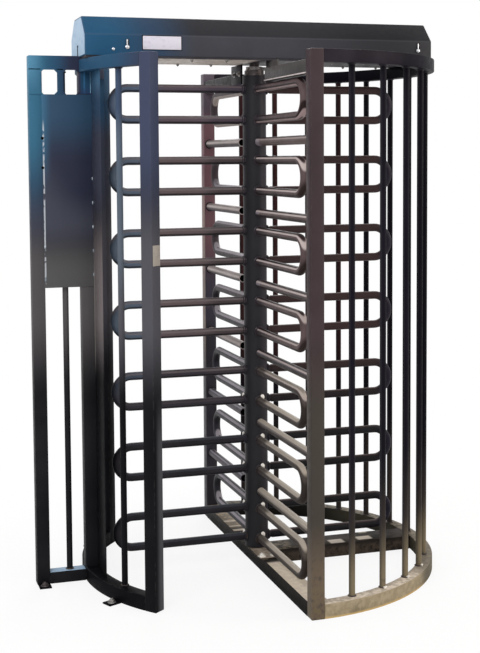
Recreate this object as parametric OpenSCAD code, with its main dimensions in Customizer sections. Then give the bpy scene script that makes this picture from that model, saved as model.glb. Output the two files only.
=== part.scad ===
// Full height mantrap turnstile with a flat fence panel on its left side.
// The origin is on the rotor's axis at the floor. +X runs along the header
// towards the barred half of the cage, and +Y runs from the entry to the exit.

/* [Frame] */
// Height of the top of the posts and top rings
frame_h = 2190; // [1800:10:2600]
// Radius of the ring's centreline, on which the posts stand
ring_r = 742; // [650:1:900]
// Width of the ring section, seen from above
ring_w = 54; // [30:1:80]
// Height of the base ring and base rails
base_h = 60; // [40:1:90]
// Height of the top rings
top_h = 50; // [30:1:80]
// Width of the square posts
post_w = 54; // [40:1:70]
// Width of the base rail under the comb, from the posts' left faces
base_rail_w = 82; // [50:1:110]
// Width of the top rails over the comb
rail_w = 50; // [40:1:80]
// Width of the cross rail on the barred side
cross_w = 128; // [60:1:140]

/* [Cage] */
// Diameter of the cage bars
bar_d = 25; // [16:1:36]
// Distance of the bars inside the ring's centreline
bar_inset = 12; // [0:1:12]
// Bars in the barred half of the cage
bar_count = 13; // [7:1:17]
// Angle of the passage posts, measured from -X
gate_angle = 39; // [34:0.5:46]
// Angle of the passage bars, measured from -X
gate_bar_angle = 25; // [22:0.5:29]
// Half angle of the curved filler sheet
filler_angle = 16; // [6:1:18]
// Thickness of the sheet steel
sheet_t = 3; // [1:0.5:5]

/* [Comb] */
// Diameter of the comb tubes
comb_d = 36; // [25:1:45]
// Distance from the rotor's axis to the free ends of the front comb's tubes
front_comb_gap = 65; // [60:1:150]
// Distance from the rotor's axis to the free ends of the back comb's tubes
back_comb_gap = 180; // [60:1:200]
// Distance of the comb tubes below the middle of the hairpins' gap
comb_drop = 8; // [0:1:20]
// Wall of the comb tubes, seen at their open ends
comb_wall = 3; // [2:0.5:5]
// Depth of the open mouth of each comb tube
comb_mouth = 40; // [10:1:80]

/* [Rotor] */
// Diameter of the rotor column
column_d = 101; // [80:1:115]
// Hairpins in each wing
hairpin_count = 7; // [5:1:8]
// Height between one hairpin and the next
hairpin_pitch = 305; // [240:1:310]
// Height of the middle of the lowest hairpin
hairpin_z = 181; // [170:1:240]
// Distance between the two legs of a hairpin, centre to centre
leg_gap = 132; // [90:1:150]
// Diameter of the hairpin tube
tube_d = 35; // [20:1:38]
// Distance from the rotor's axis to the outside of the bend
wing_reach = 645; // [500:1:660]
// Diameter and length of the neck between column and tube
neck_d = 31; // [20:1:34]
neck_l = 12; // [5:1:50]
// Diameter and length of the boss on the column
boss_d = 42; // [30:1:48]
boss_l = 7; // [4:1:20]
// Diameter of the drive shaft above the column
shaft_d = 42; // [30:1:60]
// Diameter of the pivot pin under the column
pivot_d = 30; // [20:1:40]

/* [Header] */
// Distance that the header reaches past the ring's centreline at each end
header_over = 23; // [0:1:200]
// Depth of the header
header_d = 314; // [260:5:420]
// Height of the upright face
header_face = 85; // [70:1:140]
// Depth and height of the sloping face
header_slope = 78; // [50:1:110]
// Thickness of the header's steel
header_t = 3; // [2:0.5:6]
// Length of each end box
end_l = 140; // [80:5:220]

/* [Fence panel] */
// Distance from the ring's centreline to the middle of the outer post
panel_w = 206; // [160:1:560]
// Distance from the ring's centreline to the panel's round bar
panel_bar_w = 92; // [60:1:300]
// Height of the panel's lower rail
panel_rail_h = 50; // [30:1:80]
// Height of the lower edge of the panel's sheet
panel_sheet_z = 1250; // [800:10:1600]
// Height of the row of windows, up to the frame's top rings
window_h = 93; // [50:1:140]
// Height that the panel's outer post and top rail stand above the frame
panel_rise = 15; // [0:1:40]

/* [Anchors] */
// Diameter of the anchor holes
anchor_d = 13; // [8:1:18]
// Thickness of the anchor tabs
tab_t = 6; // [4:1:10]
// Length and width of the anchor tabs
tab_l = 56; // [40:1:80]
tab_w = 50; // [40:1:80]
// Angle of the entry side's tab, measured from -X
entry_tab_angle = 25; // [20:0.5:32]
// Angle of the exit side's tab, measured from -X
exit_tab_angle = 34; // [20:0.5:34]

/* [Hidden] */

round_fn = 48;
big_fn = 96;
// gap between pieces that turn past each other
run_gap = 5;
ring_out = ring_r + ring_w / 2;
ring_in = ring_r - ring_w / 2;
comb_post_in = ring_r - post_w / 2;
bar_step = 180 / (bar_count + 1);
header_l = 2 * (ring_r + header_over);
panel_x = ring_r + panel_w;
panel_bar_x = ring_r + panel_bar_w;
top_z = frame_h - top_h;
// top rails hang a little below the top ring
rail_drop = 36;
rail_top_z = frame_h - rail_drop;
rail_h = 54;
rail_end = 215;
// plates that hang the rails' inner ends from the header
hanger_t = 8;
hanger_y = 85;
hanger_lap = 20;
// bearing plate on the base rail
plate_t = 8;
plate_l = 370;
plate_w = 86;
pivot_h = 60;
column_z = base_h + plate_t + run_gap;
column_top = frame_h - 55;
collar_d = 84;
collar_h = 22;
shaft_top = frame_h + 70;
bearing_d = 110;
bearing_h = 50;
bore_gap = 1;
header_h = header_face + header_slope;
// the header's floor stands out below its cover
floor_t = 13;
cover_z = frame_h + floor_t - header_t;
bar_r = ring_r - bar_inset;
// the panel's sheet laps on the front faces of its posts
sheet_lap = 4;

paint = [0.13, 0.13, 0.15];
steel = [0.55, 0.55, 0.56];

// A solid arc of the ring section between two angles
module ring_arc(from, to, h) {
  rotate([0, 0, from])
    rotate_extrude(angle = to - from, $fn = big_fn)
      translate([ring_in, 0])
        square([ring_w, h]);
}

// An upright piece at a radius and angle on the ring
module on_ring(angle, r = ring_r) {
  rotate([0, 0, angle])
    translate([r, 0, 0])
      children();
}

module square_post(z0, z1) {
  translate([-post_w / 2, -post_w / 2, z0])
    cube([post_w, post_w, z1 - z0]);
}

module round_bar(z0, z1) {
  translate([0, 0, z0])
    cylinder(d = bar_d, h = z1 - z0, $fn = round_fn);
}

module base_rail() {
  color(paint)
    union() {
      translate([-post_w / 2, -comb_post_in, 0])
        cube([post_w, 2 * comb_post_in, base_h]);
      difference() {
        intersection() {
          translate([-post_w / 2, -ring_r, 0])
            cube([base_rail_w, 2 * ring_r, base_h]);
          cylinder(r = ring_in, h = base_h, $fn = big_fn);
        }
        for (s = [-1, 1])
          translate([-post_w / 2, s * ring_r - post_w / 2, -1])
            cube([post_w, post_w, base_h + 2]);
      }
    }
}

module cross_rail() {
  color(paint)
    intersection() {
      translate([base_rail_w - post_w / 2, -cross_w / 2, 0])
        cube([ring_r, cross_w, base_h]);
      cylinder(r = ring_in, h = base_h, $fn = big_fn);
    }
}

module right_base_ring() {
  color(paint)
    difference() {
      ring_arc(-90, 90, base_h);
      base_post_cuts();
    }
}

// Room for the two comb posts in the rings
module base_post_cuts() {
  for (s = [-1, 1])
    translate([-post_w / 2, s * ring_r - post_w / 2 - ring_w, -1])
      cube([post_w, post_w + 2 * ring_w, frame_h + 2]);
}

// Room for the two passage posts and the panel post in the left rings
module gate_cuts() {
  for (s = [-1, 1])
    rotate([0, 0, 180 + s * gate_angle])
      translate([ring_in - ring_w, -post_w / 2, -1])
        cube([3 * ring_w, post_w, frame_h + 2]);
  translate([-ring_r - post_w / 2 - ring_w, -post_w / 2, -1])
    cube([post_w + 2 * ring_w, post_w, frame_h + 2]);
}

module left_ring(h) {
  difference() {
    ring_arc(180 - gate_angle, 180 + gate_angle, h);
    gate_cuts();
  }
}

module left_base_ring() {
  color(paint)
    left_ring(base_h);
}

module right_top_ring() {
  color(paint)
    translate([0, 0, top_z])
      difference() {
        ring_arc(-90, 90, top_h);
        translate([0, 0, -top_z])
          base_post_cuts();
      }
}

module left_top_ring() {
  color(paint)
    translate([0, 0, top_z])
      difference() {
        ring_arc(180 - gate_angle, 180 + gate_angle, top_h);
        translate([0, 0, -top_z])
          gate_cuts();
      }
}

module comb_post(side) {
  color(paint)
    translate([0, side * ring_r, 0])
      square_post(0, frame_h);
}

module gate_post(side) {
  color(paint)
    on_ring(180 + side * gate_angle)
      square_post(0, frame_h);
}

module right_cage_bars() {
  color(paint)
    for (i = [1:bar_count])
      on_ring(-90 + i * bar_step, bar_r)
        round_bar(base_h, top_z);
}

module left_cage_bars() {
  color(paint)
    for (s = [-1, 1])
      on_ring(180 + s * gate_bar_angle, bar_r)
        round_bar(base_h, top_z);
}

module filler_half(side) {
  start = asin(post_w / 2 / ring_r);
  rotate([0, 0, side > 0 ? 180 + start : 180 - filler_angle])
    translate([0, 0, base_h])
      rotate_extrude(angle = filler_angle - start, $fn = big_fn)
        translate([ring_r - sheet_t / 2, 0])
          square([sheet_t, top_z - base_h]);
}

// The flat sheet of the panel, which runs on over the inner post
module sheet_plate() {
  translate([panel_left - sheet_lap, -post_w / 2 - sheet_t, panel_sheet_z])
    cube([panel_span + sheet_lap + post_w, sheet_t, top_z - window_h - panel_sheet_z]);
}

module filler_sheet() {
  color(paint)
    difference() {
      union() {
        filler_half(1);
        filler_half(-1);
      }
      translate([-ring_r - post_w, -post_w / 2, 0])
        cube([2 * post_w, post_w, frame_h]);
      sheet_plate();
    }
}

// A rail from its comb post, with the plate that hangs it from the header
module top_rail(side) {
  color(paint)
    rotate([0, 0, side > 0 ? 0 : 180]) {
      translate([-rail_w / 2, rail_end, rail_top_z - rail_h])
        cube([rail_w, comb_post_in - rail_end, rail_h]);
      translate([-rail_w / 2 - hanger_t, hanger_y, rail_top_z - rail_h])
        cube([hanger_t, rail_end + hanger_lap - hanger_y, rail_h + rail_drop]);
    }
}

// A comb tube along +Z from its open mouth to its post
module comb_tube(gap) {
  difference() {
    cylinder(d = comb_d, h = comb_post_in - gap, $fn = round_fn);
    translate([0, 0, -1])
      cylinder(d = comb_d - 2 * comb_wall, h = comb_mouth + 1, $fn = round_fn);
  }
}

module comb(side, gap) {
  color(paint)
    for (i = [0:hairpin_count - 2])
      translate([0, side * gap, hairpin_z + (i + 0.5) * hairpin_pitch - comb_drop])
        rotate([side * -90, 0, 0])
          comb_tube(gap);
}

module panel_outer_post() {
  color(paint)
    translate([-panel_x, 0, 0])
      square_post(0, frame_h + panel_rise);
}

module panel_inner_post() {
  color(paint)
    translate([-ring_r, 0, 0])
      square_post(0, frame_h);
}

panel_left = -panel_x + post_w / 2;
panel_right = -ring_r - post_w / 2;
panel_span = panel_right - panel_left;
panel_top_z = frame_h + panel_rise - post_w;

module panel_bar() {
  color(paint)
    translate([-panel_bar_x, 0, 0])
      round_bar(panel_rail_h, panel_top_z);
}

module panel_rail(z, h) {
  color(paint)
    translate([panel_left, -post_w / 2, z])
      cube([panel_span, post_w, h]);
}

module panel_sheet() {
  color(paint)
    sheet_plate();
}

// Outline of the header's section, set in by the steel's thickness
// for the hollow, which runs down past the open lower side
module header_outline(inset = 0) {
  half = header_d / 2 - inset;
  top = header_h - inset;
  miter = inset * tan(22.5);
  face = header_face - miter;
  polygon([
    [-half, -inset], [half, -inset], [half, face],
    [half - header_slope + miter, top], [-half + header_slope - miter, top],
    [-half, face]
  ]);
}

// The outline pushed out along X between two places
module header_run(x0, x1, inset = 0) {
  translate([x0, 0, cover_z])
    rotate([90, 0, 90])
      linear_extrude(height = x1 - x0)
        header_outline(inset);
}

module header_floor() {
  color(paint)
    difference() {
      translate([-header_l / 2 + header_t, -header_d / 2 + header_t, frame_h])
        cube([header_l - 2 * header_t, header_d - 2 * header_t, floor_t]);
      translate([0, 0, frame_h - 1])
        cylinder(d = shaft_d + 2 * run_gap, h = floor_t + 2, $fn = round_fn);
    }
}

module header_shell(x0, x1) {
  difference() {
    header_run(x0, x1);
    header_run(x0 - 1, x1 + 1, header_t);
  }
}

module header_cover() {
  color(paint)
    header_shell(-header_l / 2 + end_l, header_l / 2 - end_l);
}

module header_end(side) {
  x0 = side < 0 ? -header_l / 2 : header_l / 2 - end_l;
  cap_x = side < 0 ? -header_l / 2 : header_l / 2 - header_t;
  color(paint)
    union() {
      header_shell(x0, x0 + end_l);
      header_run(cap_x, cap_x + header_t);
    }
}

module upper_bearing() {
  color(steel)
    translate([0, 0, frame_h + floor_t])
      difference() {
        cylinder(d = bearing_d, h = bearing_h, $fn = round_fn);
        translate([0, 0, -1])
          cylinder(d = shaft_d + 2 * bore_gap, h = bearing_h + 2, $fn = round_fn);
      }
}

module lower_bearing() {
  color(steel)
    union() {
      translate([-plate_w / 2, -plate_l / 2, base_h])
        cube([plate_w, plate_l, plate_t]);
      translate([0, 0, base_h + plate_t])
        cylinder(d = pivot_d, h = pivot_h, $fn = round_fn);
    }
}

module anchor_tab() {
  difference() {
    translate([0, -tab_w / 2, 0])
      cube([tab_l, tab_w, tab_t]);
    translate([tab_l / 2, 0, -1])
      cylinder(d = anchor_d, h = tab_t + 2, $fn = round_fn);
  }
}

module anchor_tabs() {
  color(paint) {
    for (turn = [180 + entry_tab_angle, 180 - exit_tab_angle])
      rotate([0, 0, turn])
        translate([ring_out, 0, 0])
          anchor_tab();
    translate([-panel_x, -post_w / 2, 0])
      rotate([0, 0, -90])
        anchor_tab();
  }
}

module rotor_column() {
  color(paint)
    difference() {
      translate([0, 0, column_z])
        cylinder(d = column_d, h = column_top - column_z, $fn = round_fn);
      translate([0, 0, column_z - 1])
        cylinder(d = pivot_d + 2 * bore_gap, h = pivot_h + 6, $fn = round_fn);
    }
}

module rotor_shaft() {
  color(steel) {
    translate([0, 0, column_top])
      cylinder(d = collar_d, h = collar_h, $fn = round_fn);
    translate([0, 0, column_top + collar_h])
      cylinder(d = shaft_d, h = shaft_top - column_top - collar_h, $fn = round_fn);
  }
}

// One leg of a hairpin, from the column out to the bend
module leg() {
  boss_end = column_d / 2 + boss_l;
  neck_end = boss_end + neck_l;
  bend_x = wing_reach - tube_d / 2 - leg_gap / 2;
  rotate([0, 90, 0]) {
    difference() {
      cylinder(d = boss_d, h = boss_end, $fn = round_fn);
      rotate([0, -90, 0])
        translate([0, 0, -boss_d])
          cylinder(d = column_d, h = 2 * boss_d, $fn = round_fn);
    }
    translate([0, 0, boss_end])
      cylinder(d = neck_d, h = neck_l, $fn = round_fn);
    translate([0, 0, neck_end])
      cylinder(d = tube_d, h = bend_x - neck_end, $fn = round_fn);
  }
}

module hairpin() {
  bend_x = wing_reach - tube_d / 2 - leg_gap / 2;
  for (s = [-1, 1])
    translate([0, 0, s * leg_gap / 2])
      leg();
  translate([bend_x, 0, 0])
    rotate([90, 0, 0])
      rotate([0, 0, -90])
        rotate_extrude(angle = 180, $fn = round_fn)
          translate([leg_gap / 2, 0])
            circle(d = tube_d, $fn = round_fn);
}

module wing(angle) {
  color(paint)
    rotate([0, 0, angle])
      for (i = [0:hairpin_count - 1])
        translate([0, 0, hairpin_z + i * hairpin_pitch])
          hairpin();
}

base_rail();
cross_rail();
right_base_ring();
left_base_ring();
right_top_ring();
left_top_ring();
comb_post(-1);  // front_post
comb_post(1);  // back_post
gate_post(1);  // entry_post
gate_post(-1);  // exit_post
right_cage_bars();
left_cage_bars();
filler_sheet();
top_rail(-1);  // front_top_rail
top_rail(1);  // back_top_rail
comb(-1, front_comb_gap);  // front_comb
comb(1, back_comb_gap);  // back_comb
panel_outer_post();
panel_inner_post();
panel_bar();
panel_rail(panel_top_z, post_w);  // panel_top_rail
panel_rail(0, panel_rail_h);  // panel_bottom_rail
panel_sheet();
header_floor();
header_cover();
header_end(-1);  // header_left_end
header_end(1);  // header_right_end
upper_bearing();
lower_bearing();
anchor_tabs();
rotor_column();
rotor_shaft();
wing(180);  // left_wing
wing(0);  // right_wing
wing(-90);  // front_wing
wing(90);  // back_wing
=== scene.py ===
"""Looks of the mantrap turnstile: powder coated steel tube, folded header, dusty base."""
import math

import bmesh
import bpy
from mathutils import Matrix, Vector


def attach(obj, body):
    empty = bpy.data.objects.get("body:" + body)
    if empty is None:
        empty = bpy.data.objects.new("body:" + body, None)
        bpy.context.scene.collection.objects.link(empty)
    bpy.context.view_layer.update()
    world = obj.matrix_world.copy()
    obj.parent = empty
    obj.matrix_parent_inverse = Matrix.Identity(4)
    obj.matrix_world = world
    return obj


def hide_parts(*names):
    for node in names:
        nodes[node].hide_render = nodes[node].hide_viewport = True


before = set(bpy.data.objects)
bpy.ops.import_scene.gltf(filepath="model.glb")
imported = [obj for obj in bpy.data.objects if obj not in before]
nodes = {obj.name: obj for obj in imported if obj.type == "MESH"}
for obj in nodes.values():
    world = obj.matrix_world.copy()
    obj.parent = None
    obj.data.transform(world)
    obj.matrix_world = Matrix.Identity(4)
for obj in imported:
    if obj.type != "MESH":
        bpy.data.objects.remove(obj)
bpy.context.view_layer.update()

# Sizes shared with the part's source, in metres and degrees
FRAME_H = 2.190
TOP_Z = 2.140
BASE_H = 0.060
RING_R = 0.742
BAR_R = 0.730
BAR_D = 0.025
BAR_COUNT = 13
GATE_ANGLE = 39.0
GATE_BAR_ANGLE = 25.0
EXIT_TAB_ANGLE = 34.0
POST_W = 0.054
PANEL_X = 0.948
PANEL_BAR_X = 0.834
PANEL_TOP = 2.205
PANEL_RAIL_Z = 2.151
WINDOW_Z = 2.047
SHEET_FRONT = -0.030
COLUMN_R = 0.0505
BOSS_D = 0.042
BOSS_END = 0.0575
NECK_D = 0.031
HAIRPINS = 7
HAIRPIN_Z = 0.181
HAIRPIN_PITCH = 0.305
LEG_GAP = 0.132
COMB_D = 0.036
COMB_MOUTH = 0.040
FRONT_COMB_GAP = 0.065
BACK_COMB_GAP = 0.180
COMB_DROP = 0.008
POST_IN = 0.715
COLLAR_R = 0.042
COLLAR_TOP = 2.157
SHAFT_R = 0.021
COVER_Z = 2.200
HEADER_FRONT = -0.157
HEADER_END = 0.765
HEADER_FACE = 0.085
HEADER_SLOPE = 0.078
TAB_R = 0.797
TAB_TOP = 0.006
PANEL_RAIL_TOP = 0.050
HANGER_FACE = 0.033
RAIL_END = 0.215
FOOT_PLATE = 0.008

# Places and sizes of what only this script makes, in metres: rounded edges, welds, nuts and
# bolts, and the fittings of the header and the panel
TUBE_ROUND = 0.003
SHEET_ROUND = 0.001
FOLD_ROUND = 0.004
SMALLEST_FOLD = 0.006            # square metres, the least face beside a rounded fold
FILLER_SHEET = 0.003
FILLER_END = 0.2045
BEAD = 0.004
BEAD_LIFT = 0.0005
BARE_BELOW = 0.75
BARE_SPOT_GAP = 0.022
CLAMP_WALL = 0.0145
CLAMP_H = 0.017
CLAMP_ROUND = 0.0015
FOOT_BOLT_X = 0.027
FOOT_BOLT_Y = 0.155
PANEL_BOLT_Y = -0.055
FLOOR_BOLT_X = (-0.62, -0.46, -0.31, -0.16, 0.16, 0.31, 0.46, 0.62)
FLOOR_BOLT_Y = (-0.12, 0.12)
HANGER_BOLT_Y = (0.110, 0.185)
HANGER_BOLT_Z = 2.150
STRIKE_Z = 1.407
STRIKE_SIZE = (0.0025, 0.044, 0.080)
LOCKS = ((-0.592, 2.234), (0.700, 2.243))
SMALL_LOCK = (-0.649, 2.225)
SMALL_LOCK_SCALE = 0.7
PLATE_X = -0.446
PLATE_Z = 2.2535
PLATE_SIZE = (0.161, 0.054, 0.0016)
RIM_OUT_X = 0.0825
RIM_OUT_Z = 0.0285
RIM_W = 0.0022
RIVET_X = 0.073
RIVET_Z = 0.020
CAP_INSET = 0.006
CAP_SHEET = 0.0012
NOTCH_Z = 0.025
HOOK_Z = 0.046
WINDOWS = ((-0.9265, -0.8590), (-0.8335, -0.7700))
WINDOW_CORNER = 0.011
BAND_Y = (SHEET_FRONT - POST_W / 2) / 2
BAND_DEEP = abs(SHEET_FRONT) - POST_W / 2
BAND_LAP = 0.004
BAND_EDGE = 0.007
THIRD_WINDOW_Z = 0.050
POCKET_X = -0.742
POCKET_SIZE = (0.040, 0.0012, 0.094)
LIP_X = -0.7215
LIP_SIZE = (0.0022, 0.0018, 0.088)
RIGHT_TACKS = (-0.7175, (1.30, 1.40, 1.50, 1.60, 1.70))
LEFT_TACKS = (-0.9195, (1.285, 1.42, 1.755, 1.877))
SCREWS = (-0.9235, (1.868, 1.747))
RAIL_LIP_X = -0.0262
RAIL_LIP_Z = 2.1025
RAIL_LIP_W = 0.004
RAIL_LIP_H = 0.005

# The camera's place, turn and lens, and how far the floor's soft shadow reaches
CAMERA_AT = (-1.6873, -5.2176, 1.7794)
YAW, PITCH, ROLL = (math.radians(a) for a in (-17.2298, 3.9884, -0.3712))
LENS = 69.445
SHIFT_UP = -0.12274
SHADOW_FADE = (0.8, 2.2)
NEAR_WHITE = 0.85
AMBIENT = 0.72

# Patterns of the coats, each with its size in metres and its detail: hand-sized clouds of
# handling and dust, scuffs of 2 cm, and grit of 5 mm; the orange peel of a real coat is 1 to
# 2 mm across, and is as coarse as the grit so that it shows
PATTERNS = (("cloud", 0.24, 3.0), ("scuff", 0.022, 5.0), ("grit", 0.005, 2.0))
PANEL_SLANT = (1.6, 0.0, 1.0)
GRIT_DEPTH = 0.002
TOP_FACE = ("nz", 0.5, 0.9)
UNDER_FACE = ("nz", -0.5, -0.9)
ROUNDED_EDGE = ("edge", 0.4, 0.6)
SHARP = math.radians(40)
IN_PLACE = Matrix.Identity(4)
UPRIGHT_TO_FRONT = Matrix.Rotation(math.pi / 2, 4, "X")
UPRIGHT_TO_SIDE = Matrix.Rotation(math.pi / 2, 4, "Y")


# ---------------------------------------------------------------- finishes
def linear(code):
    """An sRGB hex colour as linear red, green, blue and alpha."""
    parts = [int(code[i:i + 2], 16) / 255 for i in (1, 3, 5)]
    flat = [c / 12.92 if c <= 0.04045 else ((c + 0.055) / 1.055) ** 2.4 for c in parts]
    return (*flat, 1.0)


def add(tree, kind, inputs, out=0, **settings):
    """Adds a node with its settings and links, and gives one of its outputs."""
    made = tree.nodes.new(kind)
    for key, value in settings.items():
        setattr(made, key, value)
    for key, value in inputs.items():
        if isinstance(value, bpy.types.NodeSocket):
            tree.links.new(value, made.inputs[key])
        else:
            made.inputs[key].default_value = value
    return made.outputs[out]


def coat(name, base, tints, level=0.15, rough=0.4, metallic=0.0, patch=0.5, bump=0.1):
    """A finish whose base colour carries tints, each (colour, strength, spans...). A span
    (source, start, end) fades the tint in from start to end of a place on the object
    (x, y, z), a facing (nx, ny, nz), a slant across the panel, a rounded edge or a pattern.
    Many tints paint light and shade into the colour."""
    made = bpy.data.materials.new(name)
    made.use_nodes = True
    tree = made.node_tree
    shader = tree.nodes["Principled BSDF"]
    place = add(tree, "ShaderNodeTexCoord", {}, "Object")
    facing = add(tree, "ShaderNodeTexCoord", {}, "Normal")
    sources = {}
    for key, size, detail in PATTERNS:
        sources[key] = add(tree, "ShaderNodeTexNoise", {"Vector": place, "Scale": 1 / size,
                                                        "Detail": detail, "Roughness": 0.55})
    for i, axis in enumerate("xyz"):
        sources[axis] = add(tree, "ShaderNodeSeparateXYZ", {0: place}, i)
        sources["n" + axis] = add(tree, "ShaderNodeSeparateXYZ", {0: facing}, i)
    sources["slant"] = add(tree, "ShaderNodeVectorMath", {0: place, 1: PANEL_SLANT}, "Value",
                           operation="DOT_PRODUCT")
    sources["edge"] = add(tree, "ShaderNodeAttribute", {}, "Fac", attribute_name="rounded_edge_faces")
    # the base colour goes a little darker and paler with the clouds
    dark = linear(base)
    deep = tuple(c * (1 - 0.4 * patch) for c in dark[:3]) + (1.0,)
    pale = tuple(c * (1 + 0.6 * patch) for c in dark[:3]) + (1.0,)
    cloudy = add(tree, "ShaderNodeMapRange", {0: sources["cloud"], 1: 0.32, 2: 0.68},
                 interpolation_type="SMOOTHSTEP")
    colour = add(tree, "ShaderNodeMix", {0: cloudy, 6: deep, 7: pale}, 2, data_type="RGBA")
    for code, strength, *spans in tints:
        cover = strength
        for source, start, end in spans:
            step = add(tree, "ShaderNodeMapRange", {0: sources[source], 1: start, 2: end},
                       interpolation_type="SMOOTHSTEP")
            cover = add(tree, "ShaderNodeMath", {0: step, 1: cover}, operation="MULTIPLY")
        colour = add(tree, "ShaderNodeMix", {0: cover, 6: colour, 7: linear(code)}, 2,
                     data_type="RGBA")
    # handling and dust dull the gloss a little where they lie
    dull = add(tree, "ShaderNodeMapRange", {0: sources["scuff"], 1: 0.3, 2: 0.75,
                                            3: rough - 0.06, 4: rough + 0.12})
    relief = add(tree, "ShaderNodeBump", {"Height": sources["grit"], "Strength": bump,
                                          "Distance": GRIT_DEPTH})
    tree.links.new(colour, shader.inputs["Base Color"])
    tree.links.new(dull, shader.inputs["Roughness"])
    tree.links.new(relief, shader.inputs["Normal"])
    shader.inputs["Metallic"].default_value = metallic
    shader.inputs["Specular IOR Level"].default_value = level
    return made


# Gloss black powder coat, sprayed and baked on steel tube and sheet: a smooth skin. Light and
# shade are painted into its colour: painted shade, black, low on the left, a painted blue grey sky
# reflection high on the left, brown grey on the front that is partly a painted reflection of the
# ground, and pale sand and grit near the ground on the right mixed with painted sunlight.
# painted light: a lighter grey band at mid height, and a painted blue sky reflection high up that
# is strongest on the left
PAINTED_SKY_LIGHT = [
    ("#56555b", 0.85, ("z", 0.80, 1.15), ("z", 1.80, 1.40)),
    ("#40465c", 0.95, ("z", 1.42, 1.85)),
    ("#3b6a88", 0.85, ("x", -0.60, -0.84), ("z", 1.72, 1.98)),
]
# rounded edges a little lighter where scuffed: partly worn paint, partly a painted highlight
EDGE_WEAR_AND_HIGHLIGHT = ("#5f5a58", 0.12, ROUNDED_EDGE, ("scuff", 0.45, 0.6))
left_coat = coat("black_powder_coat_left", "#121215", PAINTED_SKY_LIGHT + [EDGE_WEAR_AND_HIGHLIGHT], level=0.02)
# the entry post also gets a painted highlight on its faces turned to +x, low down
entry_coat = coat("black_powder_coat_entry_post", "#121215", PAINTED_SKY_LIGHT + [
    ("#515156", 0.85, ("nx", 0.5, 0.7), ("z", 0.90, 0.60)),
    EDGE_WEAR_AND_HIGHLIGHT], level=0.04)
# the gate bars get a painted blue sky reflection high up
gate_bar_coat = coat("black_powder_coat_gate_bars", "#121215", PAINTED_SKY_LIGHT + [
    ("#5e6a77", 0.7, ("z", 1.15, 1.45), ("z", 2.00, 1.85))], level=0.05)
# bands of painted light and painted blue sky reflection up the filler, and a painted lighter band
# at mid height set by y
filler_coat = coat("black_powder_coat_filler", "#161618", [
    ("#726a6b", 0.9, ("z", 0.86, 1.15), ("z", 1.65, 1.30)),
    ("#3b3d4a", 0.95, ("z", 1.42, 1.70)),
    ("#2b4259", 0.85, ("z", 1.86, 2.00)),
    ("#40637f", 0.85, ("z", 2.02, 2.12)),
    ("#8f8b86", 0.8, ("y", -0.050, -0.042), ("z", 0.86, 1.00), ("z", 1.40, 1.25))], level=0.02)
# bands of painted light and painted blue sky reflection up the exit post
exit_coat = coat("black_powder_coat_exit_post", "#141417", [
    ("#525056", 0.85, ("z", 0.80, 1.15), ("z", 1.80, 1.40)),
    ("#3e414e", 0.95, ("z", 1.42, 1.70)),
    ("#2c4863", 0.9, ("z", 1.86, 2.00)),
    ("#45647f", 0.85, ("z", 2.02, 2.12)),
    EDGE_WEAR_AND_HIGHLIGHT], level=0.02)
# bands of painted light up the panel, a painted blue sky reflection on its upper left, and a
# painted pale blue sky reflection on the tops of its low parts
panel_coat = coat("black_powder_coat_panel", "#1e1e21", [
    ("#565354", 0.9, ("z", 0.80, 1.15), ("z", 1.72, 1.32)),
    ("#3f4250", 0.9, ("z", 1.36, 1.55)),
    ("#2c3044", 0.9, ("z", 1.52, 1.72)),
    ("#2f5571", 0.8, ("z", 1.74, 1.98), ("x", -0.79, -0.88)),
    ("#3a6a84", 0.9, ("x", -0.86, -0.96), ("z", 1.50, 1.90)),
    ("#5f93b0", 0.7, ("x", -0.90, -0.98), ("z", 2.02, 2.19)),
    ("#a9c4de", 0.85, ("nz", 0.7, 0.95), ("z", 0.30, 0.10)),
    EDGE_WEAR_AND_HIGHLIGHT], level=0.03)
# bands of painted light and painted sky reflection on the sheet, a darker slant across it, and a
# pale line of chipped paint along its left edge
sheet_coat = coat("black_powder_coat_sheet", "#111114", [
    ("#565556", 0.95, ("z", 1.56, 1.30)),
    ("#424450", 0.95, ("z", 1.36, 1.52)),
    ("#292c3e", 0.9, ("z", 1.50, 1.66), ("slant", 0.10, 0.42)),
    ("#2f4a62", 0.9, ("z", 1.76, 1.98)),
    ("#3d6f8e", 0.9, ("x", -0.88, -0.95), ("z", 1.62, 1.85)),
    ("#c3c8cf", 0.7, ("x", -0.9155, -0.9170), ("x", -0.9235, -0.9215), ("z", 1.95, 1.90),
     ("scuff", 0.42, 0.5))], level=0.1)
# painted shade: the header darker to the right and on its sloping top; a painted blue sky
# reflection at its left end
header_coat = coat("black_powder_coat_header", "#3c3c42", [
    ("#242428", 0.8, ("x", 0.05, 0.55)),
    ("#232327", 0.85, ("nz", 0.3, 0.6)),
    ("#131316", 0.7, ("nz", 0.3, 0.6), ("x", 0.10, 0.50)),
    ("#283e57", 0.9, ("x", -0.28, -0.50)),
    ("#1d4c6c", 0.95, ("x", -0.46, -0.68)),
    ("#6a6a70", 0.1, ROUNDED_EDGE)], level=0.12, rough=0.45, patch=0.2)
# brown grey, partly a painted reflection of the ground, darker lower down, dust near the ground,
# and a painted highlight on the edge turned to -x, low down
front_post_coat = coat("black_powder_coat_front_post", "#3a2e31", [
    ("#3f3b34", 0.8, ("z", 1.15, 0.75)),
    ("#67594a", 0.9, ("z", 0.42, 0.12), ("scuff", 0.20, 0.5)),
    ("#6a5f40", 0.5, ("z", 0.20, 0.05), ("scuff", 0.45, 0.6)),
    ("#9a958c", 0.6, ("nx", -0.55, -0.75), ("nx", -0.85, -0.72), ("z", 0.35, 0.15)),
    EDGE_WEAR_AND_HIGHLIGHT], level=0.13, patch=0.3)
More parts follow.
